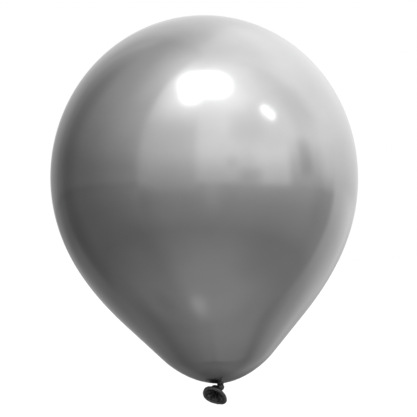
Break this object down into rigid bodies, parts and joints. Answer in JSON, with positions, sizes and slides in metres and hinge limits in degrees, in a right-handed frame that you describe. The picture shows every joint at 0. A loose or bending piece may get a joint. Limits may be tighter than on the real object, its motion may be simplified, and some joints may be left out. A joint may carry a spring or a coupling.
{
  "type": "chrome balloon",
  "caption": "Inflated latex balloon with a mirror-like silver finish: a round-topped bulb, tied neck and knot, and an open tail with a rolled lip.",
  "frame": {"origin": "middle of the bare neck, on the balloon's axis, 1 mm below the bulb, where the balloon is tied or held", "axes": "+Z along the balloon's axis from the neck to the crown, +X to the right seen from the front, +Y away from the viewer; the tail leans to -X and -Y"},
  "size_m": [0.28, 0.28, 0.3549],
  "materials": {
    "chrome_skin": "stretched latex with a mirror-like grey metallic finish",
    "dark_latex": "unstretched latex of the same balloon: dense, dark grey, satin with a faint metallic sheen"
  },
  "bodies": {
    "balloon": {"envelope": "chrome_skin", "neck": "dark_latex", "knot": "dark_latex", "knot_loop": "dark_latex"},
    "tail": {"tail_skirt": "dark_latex", "rolled_lip": "dark_latex"}
  },
  "joints": [
    {"name": "tail_flex", "type": "hinge", "parent": "balloon", "child": "tail", "pos_m": [-0.0004, -0.0005, -0.0036], "axis": [0.849, -0.5284, 0], "range_deg": [-8, 55], "stiffness_Nm_per_rad": 0.0001}
  ]
}
